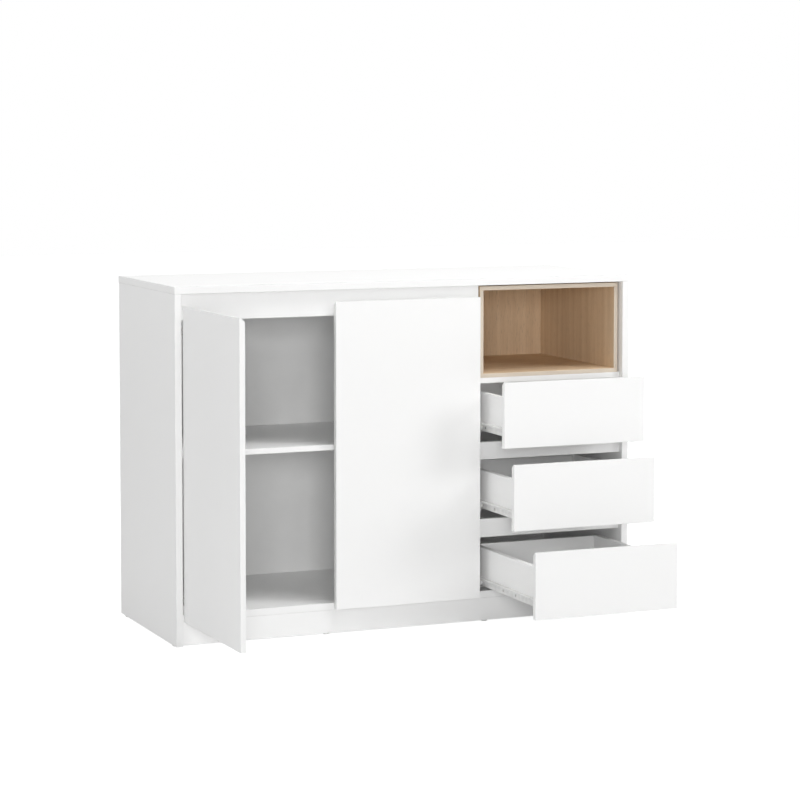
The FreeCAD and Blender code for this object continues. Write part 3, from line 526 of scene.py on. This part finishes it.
def place_mesh(data, name):
    piece = bpy.data.objects.new(name, data)
    bpy.context.scene.collection.objects.link(piece)
    return piece


def settle(piece, node, smooth_angle, stands_for_node=True):
    """Shade a piece smooth, and let it ride on its CAD node's body and stand for that node."""
    piece.data.shade_smooth()
    piece.data.set_sharp_from_angle(angle=math.radians(smooth_angle))
    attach(piece, BODY_OF[node])
    if stands_for_node:
        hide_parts(node)


def mesh_object(mesh, name):
    """Turn a bmesh into an object."""
    data = bpy.data.meshes.new(name)
    mesh.to_mesh(data)
    mesh.free()
    return place_mesh(data, name)


def finish_piece(mesh, name, material, node, smooth_angle):
    """Turn a bmesh into a finished piece of one material that stands for a CAD node."""
    piece = mesh_object(mesh, name)
    piece.data.materials.append(bpy.data.materials[material])
    settle(piece, node, smooth_angle)
    return piece


def weigh_normals(piece):
    """Keep the flat faces flat in shading beside their rounded edges."""
    modifier = piece.modifiers.new("even_shading", "WEIGHTED_NORMAL")
    modifier.weight = 100
    modifier.keep_sharp = True


def board_piece(node, material, radius):
    """A board with eased edges."""
    mesh = welded(node)
    ease_edges(mesh, radius, SHORTEST_BOARD_EDGE)
    weigh_normals(finish_piece(mesh, node + "_board", material, node, BOARD_SMOOTH))


def plain_piece(node, material):
    """A turned, moulded or cast part as the CAD has it, smooth round its curves."""
    finish_piece(welded(node), node + "_part", material, node, METAL_SMOOTH)


def split_islands(mesh):
    """The separate solids of a bmesh, each as a list of its vertices."""
    seen = set()
    found = []
    for start in mesh.verts:
        if start in seen:
            continue
        stack, members = [start], []
        seen.add(start)
        while stack:
            vertex = stack.pop()
            members.append(vertex)
            for edge in vertex.link_edges:
                other = edge.other_vert(vertex)
                if other not in seen:
                    seen.add(other)
                    stack.append(other)
        found.append(members)
    return found


def read_fastener(members):
    """Where a headed screw or nail sits and how big it is, or None for any other solid."""
    points = np.array([vertex.co for vertex in members])
    middle = points.mean(axis=0)
    way = np.linalg.svd(points - middle)[2][0]
    along = (points - middle) @ way
    away = np.linalg.norm(points - middle - np.outer(along, way), axis=1)
    ends = [away[np.abs(along - limit) < END_DEPTH].max() for limit in (along.min(), along.max())]
    if ends[0] > ends[1]:
        way, along, ends = -way, -along, ends[::-1]
    length = along.max() - along.min()
    if ends[1] > WIDEST_HEAD or ends[1] - ends[0] < LEAST_OVERHANG or length < SHORTEST_FASTENER:
        return None
    under = along[away > RIM_SHARE * ends[1]].min()
    return {"place": middle + way * under, "way": way, "head": ends[1], "height": along.max() - under,
            "shank": ends[0], "length": under - along.min()}


def take_fasteners(node):
    """A CAD node as a bmesh without its screws or nails, and the list of those."""
    mesh = welded(node)
    fasteners = []
    for members in split_islands(mesh):
        fastener = read_fastener(members)
        if fastener:
            fasteners.append(fastener)
            bmesh.ops.delete(mesh, geom=members, context="VERTS")
    return mesh, fasteners


# ---------------------------------------------------------------- geometry node trees
def new_shape_tree(name, inputs):
    """An empty Geometry Nodes tree; inputs is (name, type, default)."""
    tree = bpy.data.node_groups.new(name, "GeometryNodeTree")
    tree.interface.new_socket("Geometry", in_out="INPUT", socket_type="NodeSocketGeometry")
    for label, kind, default in inputs:
        socket = tree.interface.new_socket(label, in_out="INPUT", socket_type=kind)
        if default is not None:
            socket.default_value = default
    tree.interface.new_socket("Geometry", in_out="OUTPUT", socket_type="NodeSocketGeometry")
    return tree


def put(tree, kind, inputs=(), **settings):
    """Add a node, set its properties, and set or link its inputs, given as (name or number, value)."""
    node = tree.nodes.new(kind)
    for label, value in settings.items():
        setattr(node, label, value)
    for label, value in inputs:
        if isinstance(value, bpy.types.NodeSocket):
            tree.links.new(value, node.inputs[label])
        else:
            node.inputs[label].default_value = value
    return node


def read_attribute(tree, name, kind="FLOAT"):
    return put(tree, "GeometryNodeInputNamedAttribute", [("Name", name)], data_type=kind).outputs["Attribute"]


def maths(tree, operation, first, second):
    return put(tree, "ShaderNodeMath", [(0, first), (1, second)], operation=operation).outputs[0]


def finish_tree(tree, geometry, material):
    """Realize every instance, give the material and send the geometry out."""
    real = put(tree, "GeometryNodeRealizeInstances", [("Geometry", geometry)])
    painted = put(tree, "GeometryNodeSetMaterial", [("Geometry", real.outputs[0]), ("Material", material)])
    put(tree, "NodeGroupOutput", [("Geometry", painted.outputs[0])])


def fastener_tree():
    """A domed head, with or without a cross recess, and a tapered shank on every point."""
    tree = new_shape_tree("Fasteners", [
        ("Dome", "NodeSocketFloat", 0.45), ("Recess", "NodeSocketFloat", 0.62),
        ("Crossed", "NodeSocketBool", True), ("Seed", "NodeSocketInt", 7), ("Material", "NodeSocketMaterial", None)])
    into = put(tree, "NodeGroupInput")

    def joined(x, y, z):
        return put(tree, "ShaderNodeCombineXYZ", [(0, x), (1, y), (2, z)]).outputs[0]

    def moved(mesh, offset, turn=(0.0, 0.0, 0.0)):
        return put(tree, "GeometryNodeTransform", [("Geometry", mesh), ("Translation", offset),
                                                   ("Rotation", turn)]).outputs[0]

    drop = into.outputs["Dome"]
    drop_squared = maths(tree, "MULTIPLY", drop, drop)
    crown = maths(tree, "DIVIDE", maths(tree, "ADD", drop_squared, 1.0), maths(tree, "MULTIPLY", drop, 2.0))
    ball = put(tree, "GeometryNodeMeshUVSphere", [("Segments", 32), ("Rings", 48), ("Radius", crown)])
    ball = moved(ball.outputs["Mesh"], joined(0.0, 0.0, maths(tree, "SUBTRACT", 1.0, crown)))
    disc = put(tree, "GeometryNodeMeshCylinder", [("Vertices", 32), ("Radius", 1.0), ("Depth", 1.0)])
    disc = moved(disc.outputs["Mesh"], (0.0, 0.0, 0.5))
    head = put(tree, "GeometryNodeMeshBoolean", operation="INTERSECT", solver="EXACT")
    tree.links.new(disc, head.inputs["Mesh 2"])
    tree.links.new(ball, head.inputs["Mesh 2"])
    span = maths(tree, "MULTIPLY", into.outputs["Recess"], 2.0)
    cuts = []
    for turn in (0.0, math.radians(90)):
        bar = put(tree, "GeometryNodeMeshCube", [("Size", joined(span, 0.3, 1.2))])
        cuts.append(moved(bar.outputs["Mesh"], (0.0, 0.0, 0.98), (0.0, 0.0, turn)))
    crossed = put(tree, "GeometryNodeMeshBoolean", [("Mesh 1", head.outputs["Mesh"])], operation="DIFFERENCE",
                  solver="EXACT")
    for bar in cuts:
        tree.links.new(bar, crossed.inputs["Mesh 2"])
    shape = put(tree, "GeometryNodeSwitch", [("Switch", into.outputs["Crossed"]), ("False", head.outputs["Mesh"]),
                                             ("True", crossed.outputs["Mesh"])], input_type="GEOMETRY")
    shank = put(tree, "GeometryNodeMeshCone", [("Vertices", 12), ("Radius Top", 0.7), ("Radius Bottom", 1.0),
                                               ("Depth", 1.0)])
    shank = moved(shank.outputs["Mesh"], (0.0, 0.0, 0.0), (math.radians(180), 0.0, 0.0))

    turned = put(tree, "FunctionNodeAlignRotationToVector", [("Vector", read_attribute(tree, "way", "FLOAT_VECTOR"))],
                 axis="Z")
    spin = put(tree, "FunctionNodeRandomValue", [(2, 0.0), (3, 3.14), ("Seed", into.outputs["Seed"])],
               data_type="FLOAT")
    twist = put(tree, "FunctionNodeAxisAngleToRotation", [("Axis", (0.0, 0.0, 1.0)), ("Angle", spin.outputs[1])])
    turned = put(tree, "FunctionNodeRotateRotation", [(0, turned.outputs[0]), (1, twist.outputs[0])],
                 rotation_space="LOCAL")
    everything = put(tree, "GeometryNodeJoinGeometry")
    for mesh, wide, tall in ((shape.outputs["Output"], "head", "height"), (shank, "shank", "length")):
        across = read_attribute(tree, wide)
        size = joined(across, across, read_attribute(tree, tall))
        copies = put(tree, "GeometryNodeInstanceOnPoints", [
            ("Points", into.outputs["Geometry"]), ("Instance", mesh), ("Rotation", turned.outputs[0]),
            ("Scale", size)])
        tree.links.new(copies.outputs[0], everything.inputs[0])
    finish_tree(tree, everything.outputs[0], into.outputs["Material"])


def slot_tree():
    """Punches a round-ended slot, open along X, at every loose point marked slot."""
    tree = new_shape_tree("Punched Slots", [
        ("Length", "NodeSocketFloat", 0.012), ("Width", "NodeSocketFloat", 0.003), ("Reach", "NodeSocketFloat", 1.0),
        ("Material", "NodeSocketMaterial", None)])
    into = put(tree, "NodeGroupInput")
    marked = put(tree, "GeometryNodeSeparateGeometry", [
        ("Geometry", into.outputs["Geometry"]), ("Selection", read_attribute(tree, "slot"))], domain="POINT")
    half = maths(tree, "MULTIPLY", into.outputs["Width"], 0.5)
    offset = maths(tree, "SUBTRACT", into.outputs["Length"], into.outputs["Width"])
    pair = put(tree, "GeometryNodeJoinGeometry")
    for sign in (0.5, -0.5):
        shift = maths(tree, "MULTIPLY", offset, sign)
        where = put(tree, "ShaderNodeCombineXYZ", [(1, shift)]).outputs[0]
        end = put(tree, "GeometryNodeMeshCylinder", [("Vertices", 12), ("Radius", half),
                                                     ("Depth", into.outputs["Reach"])])
        placed = put(tree, "GeometryNodeTransform", [("Geometry", end.outputs["Mesh"]), ("Translation", where),
                                                     ("Rotation", (0.0, math.radians(90), 0.0))])
        tree.links.new(placed.outputs[0], pair.inputs[0])
    cutter = put(tree, "GeometryNodeConvexHull", [(0, pair.outputs[0])])
    cutters = put(tree, "GeometryNodeInstanceOnPoints", [("Points", marked.outputs["Selection"]),
                                                         ("Instance", cutter.outputs[0])])
    punched = put(tree, "GeometryNodeMeshBoolean", [("Mesh 1", marked.outputs["Inverted"])], operation="DIFFERENCE",
                  solver="EXACT")
    tree.links.new(cutters.outputs[0], punched.inputs["Mesh 2"])
    finish_tree(tree, punched.outputs["Mesh"], into.outputs["Material"])


def grow(source, tree_name, values):
    """Run a Geometry Nodes tree on an object and keep its result as that object's plain mesh."""
    tree = bpy.data.node_groups[tree_name]
    source.data.materials.append(values["Material"])
    modifier = source.modifiers.new(tree_name, "NODES")
    modifier.node_group = tree
    for socket in tree.interface.items_tree:
        if socket.in_out == "INPUT" and socket.name in values:
            modifier[socket.identifier] = values[socket.name]
    view = bpy.context.evaluated_depsgraph_get()
    grown = bpy.data.meshes.new_from_object(source.evaluated_get(view))
    source.modifiers.remove(modifier)
    source.data = grown


def fastener_piece(fasteners, name, node, crossed, stands_for_node=False):
    """One piece that holds screws or nails of a CAD node."""
    sizes = bpy.context.scene.sideboard_sizes
    data = bpy.data.meshes.new(name)
    data.from_pydata([tuple(f["place"]) for f in fasteners], [], [])
    for label in ("head", "height", "shank", "length"):
        data.attributes.new(label, "FLOAT", "POINT").data.foreach_set("value", [f[label] for f in fasteners])
    ways = data.attributes.new("way", "FLOAT_VECTOR", "POINT")
    ways.data.foreach_set("vector", np.concatenate([f["way"] for f in fasteners]))
    piece = place_mesh(data, name)
    grow(piece, "Fasteners", {"Dome": sizes.dome, "Recess": sizes.recess, "Crossed": crossed, "Seed": TWIST_SEED,
                              "Material": bpy.data.materials["nickel_plate"]})
    settle(piece, node, METAL_SMOOTH, stands_for_node)


def slotted_rails(node, rise, first, last):
    """Slide rails with a row of slots: rise over a rail's lowest edge, with first and last left bare at its ends."""
    sizes = bpy.context.scene.sideboard_sizes
    mesh = welded(node)
    solids = [np.array([vertex.co for vertex in members]) for members in split_islands(mesh)]
    ease_edges(mesh, sizes.metal_edge, SHORTEST_RAIL_EDGE)
    marks = mesh.verts.layers.float.new("slot")
    rows = {round(float(points[:, 2].min()), 4): points for points in solids}
    for low, points in rows.items():
        y = points[:, 1].min() + first
        while y < points[:, 1].max() - last:
            mark = mesh.verts.new((BAY_MIDDLE, y, low + rise))
            mark[marks] = 1.0
            y += sizes.slot_pitch
    piece = mesh_object(mesh, node + "_part")
    grow(piece, "Punched Slots", {"Length": sizes.slot_length, "Width": sizes.slot_width, "Reach": SLOT_REACH,
                                  "Material": bpy.data.materials["slide_coating"]})
    settle(piece, node, METAL_SMOOTH)


# ---------------------------------------------------------------- operators
class SIDEBOARD_OT_materials(bpy.types.Operator):
    """Build the shader groups, the shape trees and every material of the sideboard"""
    bl_idname = "sideboard.materials"
    bl_label = "Materials"

    def execute(self, context):
        finish = context.scene.sideboard_finish
        for build in (mottle_group, edge_rub_group, dust_group, wood_group, fastener_tree, slot_tree):
            build()
        make_white_board(finish)
        make_oak(finish, "oak_upright", (0.0, 0.0, 0.0), 0.75)
        make_oak(finish, "oak_lying", (0.0, math.radians(90), 0.0), 0.75)
        make_oak(finish, "oak_rear", (0.0, 0.0, 0.0), 0.0)
        make_hardboard(finish)
        make_beech(finish)
        make_metal("nickel_plate", finish.nickel, 0.22, 0.36, 1.0, 1600.0, 0.00002)
        make_metal("cast_zinc", finish.zinc, 0.42, 0.6, 1.0, 700.0, 0.0001)
        make_metal("slide_coating", finish.slide_coat, 0.38, 0.5, 0.0, 1100.0, 0.00005)
        make_plastic("white_nylon", finish.nylon, 0.35, 0.45)
        make_plastic("moulded_glide", finish.nylon, 0.5, 0.6)
        make_floor(context.scene.sideboard_stage)
        return {"FINISHED"}


class SIDEBOARD_OT_white_boards(bpy.types.Operator):
    """Carcass boards, doors and drawer boards with eased edges"""
    bl_idname = "sideboard.white_boards"
    bl_label = "White boards"

    def execute(self, context):
        radius = context.scene.sideboard_sizes.edge_radius
        for node in WHITE_BOARDS:
            board_piece(node, "white_melamine", radius)
        return {"FINISHED"}


class SIDEBOARD_OT_niche(bpy.types.Operator):
    """Oak lining of the open niche"""
    bl_idname = "sideboard.niche"
    bl_label = "Oak niche"

    def execute(self, context):
        radius = context.scene.sideboard_sizes.edge_radius
        for node, material in OAK_BOARDS.items():
            board_piece(node, material, radius)
        return {"FINISHED"}


class SIDEBOARD_OT_hardboard(bpy.types.Operator):
    """Back panels and drawer bottoms"""
    bl_idname = "sideboard.hardboard"
    bl_label = "Hardboard"

    def execute(self, context):
        for node in HARDBOARD:
            board_piece(node, "pressed_fibre", context.scene.sideboard_sizes.edge_radius / 3)
        return {"FINISHED"}


class SIDEBOARD_OT_hinges(bpy.types.Operator):
    """Cups, links and arms of the concealed hinges"""
    bl_idname = "sideboard.hinges"
    bl_label = "Hinges"

    def execute(self, context):
        for node in HINGE_NODES:
            mesh, screws = take_fasteners(node)
            ease_edges(mesh, context.scene.sideboard_sizes.metal_edge, SHORTEST_HINGE_EDGE)
            finish_piece(mesh, node + "_part", "nickel_plate", node, METAL_SMOOTH)
            if screws:
                fastener_piece(screws, node + "_screws", node, True)
        return {"FINISHED"}


class SIDEBOARD_OT_slides(bpy.types.Operator):
    """Roller slides and their nylon rollers"""
    bl_idname = "sideboard.slides"
    bl_label = "Slides"

    def execute(self, context):
        slotted_rails("cabinet_slide_rails", *CABINET_SLOTS)
        for node in SLIDE_NODES:
            if node != "cabinet_slide_rails":
                slotted_rails(node, *DRAWER_SLOTS)
        for node in ROLLER_NODES:
            plain_piece(node, "white_nylon")
        return {"FINISHED"}


class SIDEBOARD_OT_fittings(bpy.types.Operator):
    """Cams, dowels, shelf pins and glides"""
    bl_idname = "sideboard.fittings"
    bl_label = "Fittings"

    def execute(self, context):
        for node, material in (("cam_fittings", "cast_zinc"), ("shelf_pins", "nickel_plate"),
                               ("wooden_dowels", "raw_beech"), ("floor_glides", "moulded_glide")):
            plain_piece(node, material)
        mesh, fasteners = take_fasteners("carcass_screws_and_nails")
        mesh.free()
        screws = [f for f in fasteners if f["shank"] > THICKEST_NAIL]
        nails = [f for f in fasteners if f["shank"] <= THICKEST_NAIL]
        fastener_piece(screws, "carcass_screws", "carcass_screws_and_nails", True, stands_for_node=True)
        fastener_piece(nails, "carcass_nails", "carcass_screws_and_nails", False)
        for level in ("lower", "middle", "upper"):
            node = level + "_drawer_fittings"
            mesh, screws = take_fasteners(node)
            finish_piece(mesh, node + "_cams", "cast_zinc", node, METAL_SMOOTH)
            fastener_piece(screws, node + "_screws", node, True)
        return {"FINISHED"}


class SIDEBOARD_OT_stage(bpy.types.Operator):
    """Floor, lights and camera"""
    bl_idname = "sideboard.stage"
    bl_label = "Stage"

    def execute(self, context):
        stage = context.scene.sideboard_stage
        mesh = bpy.data.meshes.new("floor")
        corners = [(x * FLOOR_HALF, y * FLOOR_HALF, FLOOR_LEVEL) for x, y in ((-1, -1), (1, -1), (1, 1), (-1, 1))]
        mesh.from_pydata(corners, [], [(0, 1, 2, 3)])
        mesh.materials.append(bpy.data.materials["studio_floor"])
        floor = bpy.data.objects.new("floor", mesh)
        context.scene.collection.objects.link(floor)

        world = bpy.data.worlds.new("studio_world")
        context.scene.world = world
        world.use_nodes = True
        n, l = world.node_tree.nodes, world.node_tree.links
        ray = n.new("ShaderNodeTexCoord").outputs["Generated"]
        sides = ((1.0, (stage.from_right, stage.from_behind, stage.from_above)),
                 (-1.0, (stage.from_left, stage.from_front, 0.0)))
        halves = []
        for sign, strengths in sides:
            facing = vector_step(n, l, "MAXIMUM", vector_step(n, l, "MULTIPLY", ray, (sign, sign, sign)), (0, 0, 0))
            halves.append(vector_step(n, l, "DOT_PRODUCT", facing, strengths))
        light_from = arithmetic(n, l, "ADD", *halves)
        seen = remap(n, l, n.new("ShaderNodeLightPath").outputs["Is Camera Ray"], light_from, stage.backdrop)
        l.new(seen, n["Background"].inputs["Strength"])
        n["Background"].inputs["Color"].default_value = (1, 1, 1, 1)

        for name, power, size, place in (
            ("key_light", stage.key, 1.3, (2.88, -2.53, 2.09)),
            ("front_light", stage.front_light, 1.5, (-2.13, -5.71, 1.24)),
            ("top_light", stage.top_light, 1.8, (0.57, -1.49, 4.16)),
        ):
            lamp = bpy.data.lights.new(name, "AREA")
            lamp.energy = power
            lamp.size = size
            light = bpy.data.objects.new(name, lamp)
            light.location = place
            light.rotation_euler = (LIT_POINT - Vector(place)).to_track_quat("-Z", "Y").to_euler()
            light.visible_camera = False
            context.scene.collection.objects.link(light)

        camera_data = bpy.data.cameras.new("camera")
        camera_data.sensor_width = 36.0
        camera_data.lens = stage.lens
        camera_data.shift_y = -0.15
        camera = bpy.data.objects.new("camera", camera_data)
        camera.location = CAMERA_PLACE
        camera.rotation_euler = (math.radians(90 - CAMERA_DIP), 0.0, math.radians(CAMERA_TURN))
        context.scene.collection.objects.link(camera)
        context.scene.camera = camera
        context.scene.view_settings.view_transform = "Standard"
        return {"FINISHED"}


STEPS = (SIDEBOARD_OT_materials, SIDEBOARD_OT_white_boards, SIDEBOARD_OT_niche, SIDEBOARD_OT_hardboard,
         SIDEBOARD_OT_hinges, SIDEBOARD_OT_slides, SIDEBOARD_OT_fittings, SIDEBOARD_OT_stage)


class SIDEBOARD_PT_panel(bpy.types.Panel):
    """Lists the sideboard's steps and settings"""
    bl_idname = "SIDEBOARD_PT_panel"
    bl_label = "Sideboard"
    bl_space_type = "VIEW_3D"
    bl_region_type = "UI"
    bl_category = "Sideboard"

    def draw(self, context):
        for step in STEPS:
            self.layout.operator(step.bl_idname)
        for kind, name in SETTINGS:
            box = self.layout.box()
            for label in kind.__annotations__:
                box.prop(getattr(context.scene, name), label)


def register():
    for kind, name in SETTINGS:
        bpy.utils.register_class(kind)
        setattr(bpy.types.Scene, name, bpy.props.PointerProperty(type=kind))
    for step in STEPS:
        bpy.utils.register_class(step)
    bpy.utils.register_class(SIDEBOARD_PT_panel)


def unregister():
    bpy.utils.unregister_class(SIDEBOARD_PT_panel)
    for step in reversed(STEPS):
        bpy.utils.unregister_class(step)
    for kind, name in reversed(SETTINGS):
        delattr(bpy.types.Scene, name)
        bpy.utils.unregister_class(kind)


def main():
    """Build everything in order."""
    register()
    for step in STEPS:
        family, action = step.bl_idname.split(".")
        getattr(getattr(bpy.ops, family), action)()


if __name__ == "__main__":
    main()
